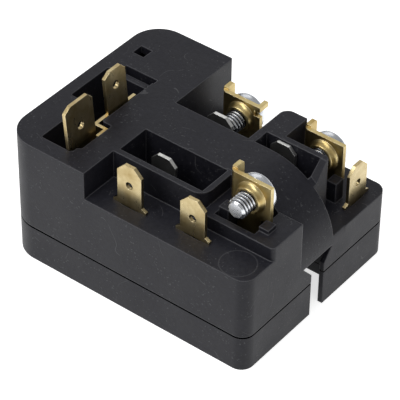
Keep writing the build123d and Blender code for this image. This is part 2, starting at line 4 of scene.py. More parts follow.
import bpy
from bpy.props import FloatProperty, FloatVectorProperty, IntProperty, PointerProperty
from mathutils import Matrix, Vector


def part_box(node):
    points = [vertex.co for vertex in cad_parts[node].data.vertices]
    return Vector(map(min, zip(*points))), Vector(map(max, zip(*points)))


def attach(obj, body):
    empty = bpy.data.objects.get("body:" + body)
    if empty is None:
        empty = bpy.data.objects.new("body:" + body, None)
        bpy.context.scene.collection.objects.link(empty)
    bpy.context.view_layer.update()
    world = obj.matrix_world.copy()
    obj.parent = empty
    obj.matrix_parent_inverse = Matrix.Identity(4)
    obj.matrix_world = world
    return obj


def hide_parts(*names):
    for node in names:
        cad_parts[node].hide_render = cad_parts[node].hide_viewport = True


bl_info = {
    "name": "Compressor start relay",
    "version": (1, 0, 0),
    "blender": (4, 5, 0),
    "location": "3D View > Sidebar > Relay",
    "description": "Finishes the mouldings, contacts and screws of a start relay and stages it",
    "category": "Object",
}

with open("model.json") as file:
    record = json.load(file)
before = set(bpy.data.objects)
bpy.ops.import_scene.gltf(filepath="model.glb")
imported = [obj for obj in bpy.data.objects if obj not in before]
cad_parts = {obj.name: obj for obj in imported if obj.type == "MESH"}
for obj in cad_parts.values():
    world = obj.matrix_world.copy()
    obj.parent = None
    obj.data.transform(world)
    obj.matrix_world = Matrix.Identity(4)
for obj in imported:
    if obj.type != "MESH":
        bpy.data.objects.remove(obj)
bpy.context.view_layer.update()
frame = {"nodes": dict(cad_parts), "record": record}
BODY = "root"
MOUNTS = {mount["name"]: Vector(mount["pos_m"]) for mount in frame["record"]["mounts"]}
SCREWS = ("front_screw", "rear_screw", "side_screw")
HOUSING_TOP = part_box("upper_housing")[1][2]
# The strips lie on the base at the height of the parting line
PARTING_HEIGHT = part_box("run_strip")[0][2]

MILLIMETRE = 0.001
# How far a cut or a join stays off a face, so that the two don't coincide
STUB = 0.05 * MILLIMETRE
# Points that lie closer than this are one point
MERGE_REACH = STUB / 100
# The least share of a face's normal along Z with which it counts as a top or an underside
FACING = 0.9
ROUND_SEGMENTS = 64
# Turns a piece that was modelled along Z so that its top looks to the back
LAY_DOWN = Matrix.Rotation(-math.pi / 2, 4, "X")

# Collar: share of its length, and how far the radius has come from the root to the lip
COLLAR_PROFILE = (
    (0.07, 0.21),
    (0.10, 0.43),
    (0.14, 0.60),
    (0.25, 0.74),
    (0.36, 0.89),
    (0.04, 1.00),
    (0.04, 1.05),
)

# Thread: shares of the pitch for its root, each flank and its crest
ROOT_SHARE = 0.12
FLANK_SHARE = 0.36
CREST_SHARE = 0.16
THREAD_MERGE_SHARE = 0.01
SPARE_TURNS = 4
# Screw blank: its radius as a share of the thread's, and its tip's bevel as one of the depth
BLANK_SHARE = 1.1
TIP_BEVEL_SHARE = 1.6
# Head: bevels of its rim and underside, and sizes of its cross, as shares of its height
RIM_SHARE = 0.55
UNDERSIDE_SHARE = 0.08
CROSS_SHARES = (2.0, 0.42, 1.2)
CROSS_TAPER = (0.4, 0.5, 1.0)
# Angle of the first screw's cross, and how much further each next one is turned
FIRST_TURN = 0.4
NEXT_TURN = 1.1

BLACK = (0.0, 0.0, 0.0, 1.0)
WHITE = (1.0, 1.0, 1.0, 1.0)
# Painted shade: the grey that narrow gaps in metal are darkened to
GAP_SHADE_GREY = (0.05, 0.05, 0.055, 1.0)
BEVEL_SAMPLES = 6
GAP_SAMPLES = 8
# Plastic: noise levels where dust patches and scratches start, and half a scratch's width
PATCH_EDGE = 0.5
SCRATCH_EDGE = 0.56
SCRATCH_REACH = 0.0016
# Plastic: how much the clouds lighten and dull it, and how much wear polishes its edges
CLOUD_SHARE = 0.4
CLOUD_DULLING = 0.22
EDGE_POLISH = 0.05
# Metal: how much streaks and patches dull it, and how strongly a painted highlight lightens its
# sheared edges
STREAK_DULLING = 0.16
PATCH_DULLING = 0.12
EDGE_HIGHLIGHT = 0.8
# Metal: share of the thread's pitch over which painted shade darkens a narrow gap
GAP_SHADE_SHARE = 0.8
# Streaks in a metre along X, Y and Z: the fewest lie along the brushing
UPRIGHT_BRUSH = (900, 900, 90)
LENGTHWISE_BRUSH = (90, 900, 900)
TIN_BRUSH = (900, 900, 120)
SPRING_BRUSH = (900, 900, 200)
ZINC_BRUSH = (400, 400, 400)


class Value:
    """A socket in a material; an expression on values adds its Math nodes."""

    def __init__(self, graph, socket):
        self.graph = graph
        self.socket = socket

    def math(self, operation, *others):
        return self.graph.add("ShaderNodeMath", {"operation": operation}, self, *others)

    def reverse(self, operation, other):
        return self.graph.add("ShaderNodeMath", {"operation": operation}, other, self)

    def __add__(self, other):
        return self.math("ADD", other)

    def __radd__(self, other):
        return self.reverse("ADD", other)

    def __sub__(self, other):
        return self.math("SUBTRACT", other)

    def __rsub__(self, other):
        return self.reverse("SUBTRACT", other)

    def __mul__(self, other):
        return self.math("MULTIPLY", other)

    def __rmul__(self, other):
        return self.reverse("MULTIPLY", other)

    def over(self, edge):
        """One where the value is above the edge, else zero."""
        return self.math("GREATER_THAN", edge)

    def near(self, middle, reach):
        """One where the value is less than a reach away from the middle, else zero."""
        return (self - middle).math("ABSOLUTE").math("LESS_THAN", reach)

    def output(self, name):
        """Another output of the node that this value comes from."""
        return Value(self.graph, self.socket.node.outputs[name])


class Graph:
    """The node tree of one material."""

    def __init__(self, name):
        self.material = bpy.data.materials.new(name)
        self.material.use_nodes = True
        self.tree = self.material.node_tree
        self.tree.nodes.clear()

    def add(self, kind, settings=None, *values, **named):
        """Add a node: its settings first, then its inputs by order or by name."""
        node = self.tree.nodes.new(kind)
        for key, setting in (settings or {}).items():
            if key == "stops":
                set_stops(node.color_ramp, setting)
            else:
                setattr(node, key, setting)
        inputs = [socket for socket in node.inputs if socket.enabled]
        for socket, value in zip(inputs, values):
            self.feed(socket, value)
        for key, value in named.items():
            self.feed(node.inputs[key.replace("_", " ")], value)
        outputs = [socket for socket in node.outputs if socket.enabled]
        return Value(self, outputs[0]) if outputs else None

    def feed(self, socket, value):
        """Link a value to an input, or set the input to a number or a colour."""
        if isinstance(value, Value):
            self.tree.links.new(value.socket, socket)
        else:
            socket.default_value = value

    def place(self):
        """Object coordinates, in metres, the same on every piece."""
        return self.add("ShaderNodeTexCoord").output("Object")

    def scaled(self, vector, scale):
        """A vector stretched along X, Y and Z."""
        return self.add("ShaderNodeMapping", None, Vector=vector, Scale=scale)

    def noise(self, vector, size, detail=3.0, roughness=0.5):
        """Noise whose largest spots are about the given size in metres."""
        return self.add(
            "ShaderNodeTexNoise",
            None,
            Vector=vector,
            Scale=1.0 / size,
            Detail=detail,
            Roughness=roughness,
        )

    def ramp(self, value, *stops):
        """A value carried over to the greys of the stops."""
        return self.add("ShaderNodeValToRGB", {"stops": stops}, value)

    def blend(self, factor, first, second):
        """Mix two colours by a factor."""
        return self.add("ShaderNodeMix", {"data_type": "RGBA"}, factor, first, second)

    def rounded(self, radius):
        """The surface's normal, rounded over its edges."""
        return self.add("ShaderNodeBevel", {"samples": BEVEL_SAMPLES}, Radius=radius)

    def edge_mask(self, radius, low, high):
        """A mask that is one along outer and inner edges and zero on flat faces."""
        flat = self.add("ShaderNodeNewGeometry").output("Normal")
        same = self.add(
            "ShaderNodeVectorMath", {"operation": "DOT_PRODUCT"}, self.rounded(radius), flat
        )
        return self.add("ShaderNodeMapRange", None, same.output("Value"), high, low, 0.0, 1.0)

    def finish(self, **inputs):
        """Close the material with a Principled shader that has these inputs."""
        shader = self.add("ShaderNodeBsdfPrincipled", None, **inputs)
        self.add("ShaderNodeOutputMaterial", None, shader)
        return self.material


def set_stops(ramp, stops):
    """Give a colour ramp its stops, each a position and a grey level."""
    while len(ramp.elements) < len(stops):
        ramp.elements.new(1.0)
    for element, (position, grey) in zip(ramp.elements, stops):
        element.position = position
        element.color = (grey, grey, grey, 1.0)


def colour(value):
    """A colour setting with full alpha, as a shader input takes it."""
    return (*value, 1.0)


def clouded_plastic(graph, place, cloud, settings):
    """The plastic's own colour, with paler clouds and a fine mottle."""
    mottle = graph.noise(place, size=0.9 * MILLIMETRE, detail=2.0, roughness=0.6)
    paleness = cloud * CLOUD_SHARE + graph.ramp(mottle, (0.3, 0.0), (0.7, 0.6))
    return graph.blend(paleness, colour(settings.plastic), colour(settings.plastic_light))


def dust_specks(graph, place, settings):
    """How strongly dust shows: fine specks that lie in patches."""
    specks = graph.noise(place, size=0.5 * MILLIMETRE, detail=1.0).over(settings.speck_edge)
    patches = graph.noise(place, size=5 * MILLIMETRE, detail=2.0).over(PATCH_EDGE)
    return specks * patches * settings.dust


def scratch_lines(graph, place, settings):
    """How strongly scratches show: thin curved lines that break off here and there."""
    lines = graph.noise(place, size=16 * MILLIMETRE, detail=1.5).near(0.5, SCRATCH_REACH)
    unbroken = graph.noise(place, size=4 * MILLIMETRE, detail=2.0).over(SCRATCH_EDGE)
    return lines * unbroken * settings.scratches


def round_mark(graph, place, height, settings):
    """How strongly the round mark shows: a thin ring on the ledge and not below it."""
    middle = tuple(settings.mark_place)
    away = graph.add("ShaderNodeVectorMath", {"operation": "DISTANCE"}, place, middle)
    ring = away.output("Value").near(settings.mark_radius, settings.mark_line / 2)
    return ring * height.over(middle[2] - STUB) * settings.mark_strength


def moulded_plastic(settings):
    """Black moulded plastic: satin and grained, with dust, scratches, lighter edges that are
    partly wear and partly painted highlight, and a painted shadow along the parting line.
    """
    graph = Graph("moulded_plastic")
    place = graph.place()
    height = graph.add("ShaderNodeSeparateXYZ", None, place).output("Z")
    cloud = graph.noise(place, size=9 * MILLIMETRE, detail=4.0, roughness=0.6)
    grain = graph.noise(place, size=0.4 * MILLIMETRE, detail=3.0, roughness=0.65)
    edges = graph.edge_mask(settings.edge_radius, low=0.82, high=0.995)
    # Band along the parting line that is painted as a shadow gap
    seam = height.near(settings.seam, settings.seam_shade_width / 2)
    dust = colour(settings.dust_colour)
    tint = clouded_plastic(graph, place, cloud, settings)
    dusty = graph.blend(dust_specks(graph, place, settings), tint, dust)
    scored = graph.blend(scratch_lines(graph, place, settings), dusty, dust)
    # Edges lightened: partly wear, partly a painted highlight
    worn_and_highlit = graph.blend(edges * settings.edge_wear_and_highlight, scored, colour(settings.edge_wear_and_highlight_colour))
    marked = graph.blend(round_mark(graph, place, height, settings), worn_and_highlit, dust)
    bump = graph.add(
        "ShaderNodeBump",
        None,
        Strength=0.55,
        Distance=0.06 * MILLIMETRE,
        Height=grain,
        Normal=graph.rounded(settings.edge_radius),
    )
    # Painted shadow gap: along the parting line the plastic turns into black metal, which reflects
    # nothing, so this painted shade stays dark under any lamp
    return graph.finish(
        Base_Color=graph.blend(seam, marked, BLACK),
        Metallic=seam,
        Roughness=settings.roughness + cloud * CLOUD_DULLING - edges * EDGE_POLISH,
        Specular_IOR_Level=settings.gloss,
        Normal=bump,
    )


def sheet_metal(name, base, deep, rough, brush, edge_radius, edge_highlight=None, gap_shade=None):
    """Brushed metal with dull patches; the edge colour, where given, is a painted highlight on its
    edges, and the gap reach, where given, paints shade into narrow gaps.
    """
    graph = Graph(name)
    place = graph.place()
    streaks = graph.noise(graph.scaled(place, brush), size=1.0, detail=3.0, roughness=0.6)
    patches = graph.noise(place, size=3.5 * MILLIMETRE, detail=4.0, roughness=0.62)
    tone = graph.blend(graph.ramp(patches, (0.35, 0.0), (0.75, 1.0)), colour(base), colour(deep))
    # Painted shade: narrow gaps, found by ambient occlusion, darkened towards grey
    if gap_shade is not None:
        light = graph.add("ShaderNodeAmbientOcclusion", {"samples": GAP_SAMPLES}, Distance=gap_shade)
        open_share = graph.ramp(light.output("AO"), (0.45, 0.0), (0.85, 1.0))
        tone = graph.blend(open_share, GAP_SHADE_GREY, tone)
    # Painted highlight along outer and inner edges
    if edge_highlight is not None:
        edges = graph.edge_mask(edge_radius, low=0.80, high=0.985)
        tone = graph.blend(edges * EDGE_HIGHLIGHT, tone, colour(edge_highlight))
    bump = graph.add(
        "ShaderNodeBump",
        None,
        Strength=0.12,
        Distance=0.02 * MILLIMETRE,
        Height=streaks,
        Normal=graph.rounded(edge_radius),
    )
    return graph.finish(
        Base_Color=tone,
        Metallic=1.0,
        Roughness=rough + streaks * STREAK_DULLING + patches * PATCH_DULLING,
        Normal=bump,
    )


def fired_ceramic():
    """Dark fired ceramic with fine pores."""
    graph = Graph("fired_ceramic")
    pores = graph.noise(graph.place(), size=0.4 * MILLIMETRE, detail=3.0, roughness=0.6)
    bump = graph.add(
        "ShaderNodeBump", None, Strength=0.3, Distance=0.05 * MILLIMETRE, Height=pores
    )
    return graph.finish(
        Base_Color=graph.ramp(pores, (0.3, 0.05), (0.7, 0.12)),
        Roughness=0.6 + pores * 0.2,
        Normal=bump,
    )


def pale_floor(settings):
    """Pale floor that the camera sees as white, and that still takes the object's shadow."""
    graph = Graph("pale_floor")
    path = graph.add("ShaderNodeLightPath")
    seen = path.output("Is Camera Ray")
    mirrored = path.output("Is Glossy Ray")
    passed = path.output("Is Transmission Ray")
    glow = graph.blend((seen + mirrored + passed) * settings.floor_glow, BLACK, WHITE)
    grain = graph.noise(graph.place(), size=4 * MILLIMETRE)
    return graph.finish(
        Base_Color=graph.ramp(grain, (0.0, 0.80), (1.0, 0.84)),
        Roughness=0.9,
        Emission_Color=glow,
        Emission_Strength=1.0,
    )


def deselect():
    """Leave edit mode with nothing selected."""
    if bpy.context.mode != "OBJECT":
        bpy.ops.object.mode_set(mode="OBJECT")
    bpy.ops.object.select_all(action="DESELECT")


def choose(piece):
    """Leave edit mode with only this piece selected and active."""
    deselect()
    piece.select_set(True)
    bpy.context.view_layer.objects.active = piece


def edit(piece, kind="VERT"):
    """Open one piece in edit mode with nothing selected in it."""
    choose(piece)
    bpy.ops.object.mode_set(mode="EDIT")
    bpy.ops.mesh.select_mode(type=kind)
    bpy.ops.mesh.select_all(action="DESELECT")


def pick(piece, kind, test):
    """Select, in edit mode, only the vertices, edges or faces that pass a test."""
    bpy.ops.mesh.select_all(action="DESELECT")
    bpy.ops.object.mode_set(mode="OBJECT")
    for item in getattr(piece.data, kind):
        item.select = test(item)
    bpy.ops.object.mode_set(mode="EDIT")


def looks_up(face):
    """Whether a face is a top."""
    return face.normal.z > FACING


def looks_down(face):
    """Whether a face is an underside."""
    return face.normal.z < -FACING


def apply(piece, kind, **settings):
    """Add one modifier to a piece and apply it."""
    choose(piece)
    modifier = piece.modifiers.new(kind.lower(), kind)
    for key, setting in settings.items():
        setattr(modifier, key, setting)
    bpy.ops.object.modifier_apply(modifier=modifier.name)


def combine(piece, tool, operation):
    """Join a tool to a piece, cut it away or keep what they share, and remove the tool."""
    apply(piece, "BOOLEAN", object=tool, operation=operation, solver="EXACT")
    bpy.data.objects.remove(tool, do_unlink=True)


def round_bar(name, radius, low, high, segments, middle=(0.0, 0.0)):
    """Add a round bar along Z between two heights."""
    deselect()
    bpy.ops.mesh.primitive_cylinder_add(
        vertices=segments, radius=radius, depth=high - low, location=(*middle, (low + high) / 2)
    )
    bar = bpy.context.object
    bar.name = name
    bpy.ops.object.transform_apply(location=True, rotation=False, scale=False)
    return bar


def dress(node_names, material):
    """Give CAD nodes one material."""
    for name in node_names:
        node = frame["nodes"][name]
        node.data.materials.clear()
        node.data.materials.append(material)


def merged_copy(node, ending):
    """A copy of a CAD node whose loose triangles are merged, so that it can be cut and joined."""
    piece = bpy.data.objects.new(node + ending, frame["nodes"][node].data.copy())
    bpy.context.scene.collection.objects.link(piece)
    edit(piece)
    bpy.ops.mesh.select_all(action="SELECT")
    bpy.ops.mesh.remove_doubles(threshold=MERGE_REACH)
    choose(piece)
    bpy.ops.mesh.customdata_custom_splitnormals_clear()
    return piece


def laid_copy(tool, name, place, turn=0.0):
    """A copy of a piece along Z, turned about Z and laid down so that its top looks back."""
    mesh = tool.data.copy()
    mesh.transform(Matrix.Translation(place) @ LAY_DOWN @ Matrix.Rotation(turn, 4, "Z"))
    copy = bpy.data.objects.new(name, mesh)
    bpy.context.scene.collection.objects.link(copy)
    return copy


def finish_piece(piece, material, degrees):
    """Give a finished piece its one material and smooth shading up to an angle."""
    piece.data.materials.clear()
    piece.data.materials.append(material)
    choose(piece)
    bpy.ops.object.shade_smooth_by_angle(angle=math.radians(degrees))


class RelayHousing(bpy.types.PropertyGroup):
    """Added forms, colours and wear of the two mouldings, with a painted highlight on their edges
    and a painted shadow along the parting line.
    """

    deck: FloatProperty(
        name="Deck height",
        description="Where the side column starts",
        unit="LENGTH",
        default=16.75 * MILLIMETRE,
    )
    column_corner: FloatVectorProperty(
        name="Column corner",
        description="Back corner of the side column",
        size=2,
        unit="LENGTH",
        default=(0.0093, 0.01825),
    )
    column_round: FloatProperty(
        name="Column round",
        description="Rounding of that corner",
        unit="LENGTH",
        default=2.2 * MILLIMETRE,
    )
    ramp_low: FloatVectorProperty(
        name="Ramp low",
        description="Low corner of the side well's ramp",
        subtype="XYZ",
        default=(0.0247, 0.0062, 0.0260),
    )
    ramp_high: FloatVectorProperty(
        name="Ramp high",
        description="High corner of the ramp",
        subtype="XYZ",
        default=(0.0263, 0.0096, HOUSING_TOP),
    )
    ramp_drop: FloatProperty(
        name="Ramp drop",
        description="How far the ramp falls to the front",
        unit="LENGTH",
        default=3.0 * MILLIMETRE,
    )
    ramp_tilt: FloatProperty(
        name="Ramp tilt",
        description="How much lower its outer corner is",
        unit="LENGTH",
        default=1.1 * MILLIMETRE,
    )
    # Painted shadow gap: height of the black band that stands in for the shade in the parting line
    seam: FloatProperty(
        name="Seam",
        description="Height of the dark parting line",
        unit="LENGTH",
        default=PARTING_HEIGHT,
    )
    # Width of that painted shadow band
    seam_shade_width: FloatProperty(
        name="Seam width",
        description="Width of the parting line",
        unit="LENGTH",
        default=0.42 * MILLIMETRE,
    )
    mark_place: FloatVectorProperty(
        name="Mark",
        description="Middle of the round mark on the ledge",
        subtype="XYZ",
        default=(0.0267, -0.0210, 0.0245),
    )
    mark_radius: FloatProperty(
        name="Mark radius",
        description="Radius of that mark",
        unit="LENGTH",
        default=3.9 * MILLIMETRE,
    )
    mark_line: FloatProperty(
        name="Mark line",
        description="Width of the mark's line",
        unit="LENGTH",
        default=0.28 * MILLIMETRE,
    )
    mark_strength: FloatProperty(
        name="Mark strength",
        description="How strongly the mark shows",
        subtype="FACTOR",
        default=0.2,
    )
    plastic: FloatVectorProperty(
        name="Plastic",
        description="Main colour",
        subtype="COLOR",
        default=(0.0070, 0.0070, 0.0105),
    )
    plastic_light: FloatVectorProperty(
        name="Light plastic",
        description="Colour of paler clouds",
        subtype="COLOR",
        default=(0.0165, 0.0165, 0.0225),
    )
    roughness: FloatProperty(
        name="Roughness",
        description="How dull the plastic is",
        subtype="FACTOR",
        default=0.38,
    )
    gloss: FloatProperty(
        name="Gloss",
        description="How strongly the plastic mirrors light",
        subtype="FACTOR",
        default=0.26,
    )
    dust_colour: FloatVectorProperty(
        name="Dust",
        description="Colour of dust, scratches and the mark",
        subtype="COLOR",
        default=(0.12, 0.12, 0.125),
    )
    dust: FloatProperty(
        name="Dust amount",
        description="How strongly specks show",
        subtype="FACTOR",
        default=0.3,
    )
    speck_edge: FloatProperty(
        name="Speck edge",
        description="Noise level where specks start",
        subtype="FACTOR",
        default=0.68,
    )
    scratches: FloatProperty(
        name="Scratches",
        description="How strongly scratches show",
        subtype="FACTOR",
        default=0.35,
    )
    # Colour of the lightened edges, partly wear and partly painted highlight
    edge_wear_and_highlight_colour: FloatVectorProperty(
        name="Edge",
        description="Colour of worn edges",
        subtype="COLOR",
        default=(0.105, 0.105, 0.115),
    )
    # How strongly the lightened edges show, partly wear and partly painted highlight
    edge_wear_and_highlight: FloatProperty(
        name="Edge wear",
        description="How strongly worn edges show",
        subtype="FACTOR",
        default=0.85,
    )
    edge_radius: FloatProperty(
        name="Edge radius",
        description="Rounding of the edges",
        unit="LENGTH",
        default=0.42 * MILLIMETRE,
    )


class RelayMetal(bpy.types.PropertyGroup):
    """Colours, edge rounding and painted edge highlights of the metal pieces."""

    brass: FloatVectorProperty(
        name="Brass",
        description="Bright brass",
        subtype="COLOR",
        default=(0.58, 0.48, 0.27),
    )
    brass_deep: FloatVectorProperty(
        name="Deep brass",
        description="Dull patches of the brass",
        subtype="COLOR",
        default=(0.38, 0.28, 0.12),
    )
    # Painted highlight colour for the brass's sheared edges
    brass_edge_highlight: FloatVectorProperty(
        name="Brass edge",
        description="Sheared edges of the brass",
        subtype="COLOR",
        default=(0.95, 0.82, 0.55),
    )
    golden_brass: FloatVectorProperty(
        name="Golden brass",
        description="Bright brass of the screw plates",
        subtype="COLOR",
        default=(0.62, 0.51, 0.25),
    )
    golden_deep: FloatVectorProperty(
        name="Deep golden brass",
        description="Dull patches of the plates",
        subtype="COLOR",
        default=(0.44, 0.30, 0.10),
    )
    tin: FloatVectorProperty(
        name="Tin",
        description="Tin plating",
        subtype="COLOR",
        default=(0.74, 0.74, 0.72),
    )
    tin_deep: FloatVectorProperty(
        name="Deep tin",
        description="Dull patches of the tin",
        subtype="COLOR",
        default=(0.50, 0.50, 0.49),
    )
    # Painted highlight colour for the tinned contacts' sheared edges
    tin_edge_highlight: FloatVectorProperty(
        name="Tin edge",
        description="Sheared edges of the tinned contacts",
        subtype="COLOR",
        default=(0.95, 0.95, 0.95),
    )
    zinc: FloatVectorProperty(
        name="Zinc",
        description="Bright zinc of the screws",
        subtype="COLOR",
        default=(0.82, 0.84, 0.87),
    )
    zinc_deep: FloatVectorProperty(
        name="Deep zinc",
        description="Dull patches of the zinc",
        subtype="COLOR",
        default=(0.60, 0.63, 0.68),
    )
    edge_radius: FloatProperty(
        name="Edge radius",
        description="Rounding of sheared edges",
        unit="LENGTH",
        default=0.12 * MILLIMETRE,
    )


class RelayScrew(bpy.types.PropertyGroup):
    """Sizes of the terminal screws and of the collars that they stand in."""

    pitch: FloatProperty(
        name="Pitch",
        description="Pitch of the thread",
        unit="LENGTH",
        default=0.82 * MILLIMETRE,
    )
    radius: FloatProperty(
        name="Radius",
        description="Outer radius of the thread",
        unit="LENGTH",
        default=2.3 * MILLIMETRE,
    )
    depth: FloatProperty(
        name="Depth",
        description="Depth of the thread",
        unit="LENGTH",
        default=0.5 * MILLIMETRE,
    )
    reach: FloatProperty(
        name="Reach",
        description="How far the thread stands out",
        unit="LENGTH",
        default=5.35 * MILLIMETRE,
    )
    plate: FloatProperty(
        name="Plate",
        description="Thickness of the screw plate",
        unit="LENGTH",
        default=1.0 * MILLIMETRE,
    )
    head_radius: FloatProperty(
        name="Head radius",
        description="Radius of the head",
        unit="LENGTH",
        default=4.4 * MILLIMETRE,
    )
    head_height: FloatProperty(
        name="Head height",
        description="Height of the head",
        unit="LENGTH",
        default=2.6 * MILLIMETRE,
    )
    steps: IntProperty(name="Steps", description="Segments round the thread", default=40)
    bore: FloatProperty(
        name="Bore",
        description="Radius of the hole in the collar",
        unit="LENGTH",
        default=2.42 * MILLIMETRE,
    )
    collar_root: FloatProperty(
        name="Collar root",
        description="Radius of the collar on the plate",
        unit="LENGTH",
        default=3.65 * MILLIMETRE,
    )
    collar_lip: FloatProperty(
        name="Collar lip",
        description="Radius of the collar's end",
        unit="LENGTH",
        default=2.95 * MILLIMETRE,
    )
    collar_length: FloatProperty(
        name="Collar length",
        description="How far the collar stands out",
        unit="LENGTH",
        default=1.5 * MILLIMETRE,
    )


class RelayStage(bpy.types.PropertyGroup):
    """Camera, lamps and floor."""

    azimuth: FloatProperty(
        name="Azimuth",
        description="Camera angle round the object",
        subtype="ANGLE",
        default=0.65392,
    )
    elevation: FloatProperty(
        name="Elevation",
        description="Camera angle above the floor",
        subtype="ANGLE",
        default=0.70405,
    )
    roll: FloatProperty(
        name="Roll",
        description="Camera roll",
        subtype="ANGLE",
        default=0.0144,
    )
    distance: FloatProperty(
        name="Distance",
        description="Camera distance",
        unit="LENGTH",
        default=0.49373,
    )
    lens: FloatProperty(
        name="Lens",
        description="Focal length in millimetres",
        default=207.74,
    )
    aim: FloatVectorProperty(
        name="Aim",
        description="Point in front of the camera",
        subtype="XYZ",
        default=(0.0, 0.00365, 0.016),
    )
    slide: FloatVectorProperty(
        name="Slide",
        description="How far the camera stands right of and above its line to the aim",
        size=2,
        unit="LENGTH",
        default=(-0.001645, -0.004102),
    )
    floor_size: FloatProperty(
        name="Floor",
        description="Width of the floor",
        unit="LENGTH",
        default=3.0,
    )
    floor_glow: FloatProperty(
        name="Floor glow",
        description="White that the camera adds",
        subtype="FACTOR",
        default=0.7,
    )
    key_power: FloatProperty(
        name="Key lamp",
        description="Power of the key lamp",
        subtype="POWER",
        default=1.8,
    )
    fill_power: FloatProperty(
        name="Fill lamp",
        description="Power of the fill lamp",
        subtype="POWER",
        default=0.15,
    )
    back_power: FloatProperty(
        name="Back lamp",
        description="Power of the back lamp",
        subtype="POWER",
        default=0.5,
    )
    top_power: FloatProperty(
        name="Top lamp",
        description="Power of the top lamp",
        subtype="POWER",
        default=2.0,
    )
    world_level: FloatProperty(
        name="World",
        description="Level of the even light",
        default=0.36,
    )


class RelaySettings(bpy.types.PropertyGroup):
    """All settings of the relay."""

    housing: PointerProperty(type=RelayHousing)
    metal: PointerProperty(type=RelayMetal)
    screw: PointerProperty(type=RelayScrew)
    stage: PointerProperty(type=RelayStage)


class RELAY_OT_mouldings(bpy.types.Operator):
    """Give the mouldings their plastic, the side column's round corner and the side well's ramp"""

    bl_idname = "relay.mouldings"
    bl_label = "Mouldings"

    def execute(self, context):
        housing = context.scene.relay.housing
        plastic = moulded_plastic(housing)
        dress(("upper_housing", "base_housing"), plastic)
        upper = merged_copy("upper_housing", "_rounded")
        combine(upper, self.model_corner_cut(housing), "DIFFERENCE")
        combine(upper, self.model_ramp(housing), "UNION")
        finish_piece(upper, plastic, degrees=25)
        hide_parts("upper_housing")
        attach(upper, BODY)
        return {"FINISHED"}

    def model_ramp(self, housing):
        """The ramp that lifts the right wall of the side well to the height of its back wall."""
        low, high = Vector(housing.ramp_low), Vector(housing.ramp_high)
        middle = (low + high) / 2
        deselect()
        bpy.ops.mesh.primitive_cube_add(size=1, location=middle, scale=high - low)
        ramp = bpy.context.object
        bpy.ops.object.transform_apply(location=True, rotation=False, scale=True)
        edit(ramp)
        pick(ramp, "vertices", lambda vertex: vertex.co.y < middle.y and vertex.co.z > middle.z)
        bpy.ops.transform.translate(value=(0, 0, -housing.ramp_drop))
        pick(ramp, "vertices", lambda vertex: vertex.co.y < middle.y and vertex.co.x > middle.x)
        bpy.ops.transform.translate(value=(0, 0, -housing.ramp_tilt))
        deselect()
        return ramp

    def model_corner_cut(self, housing):
        """What rounds the column's back corner: a square post with a round one taken out."""
        radius = housing.column_round
        x, y = housing.column_corner
        low = housing.deck + STUB
        high = HOUSING_TOP + radius
        post = round_bar(
            "post", radius, 0, 2 * high, ROUND_SEGMENTS, middle=(x + radius, y - radius)
        )
        deselect()
        bpy.ops.mesh.primitive_cube_add(size=2 * radius, location=(x, y, low))
        cut = bpy.context.object
        edit(cut, "FACE")
        pick(cut, "polygons", looks_down)
        bpy.ops.transform.translate(value=(0, 0, radius))
        pick(cut, "polygons", looks_up)
        bpy.ops.transform.translate(value=(0, 0, high - low - radius))
        choose(cut)
        bpy.ops.object.transform_apply(location=True, rotation=False, scale=False)
        combine(cut, post, "DIFFERENCE")
        return cut


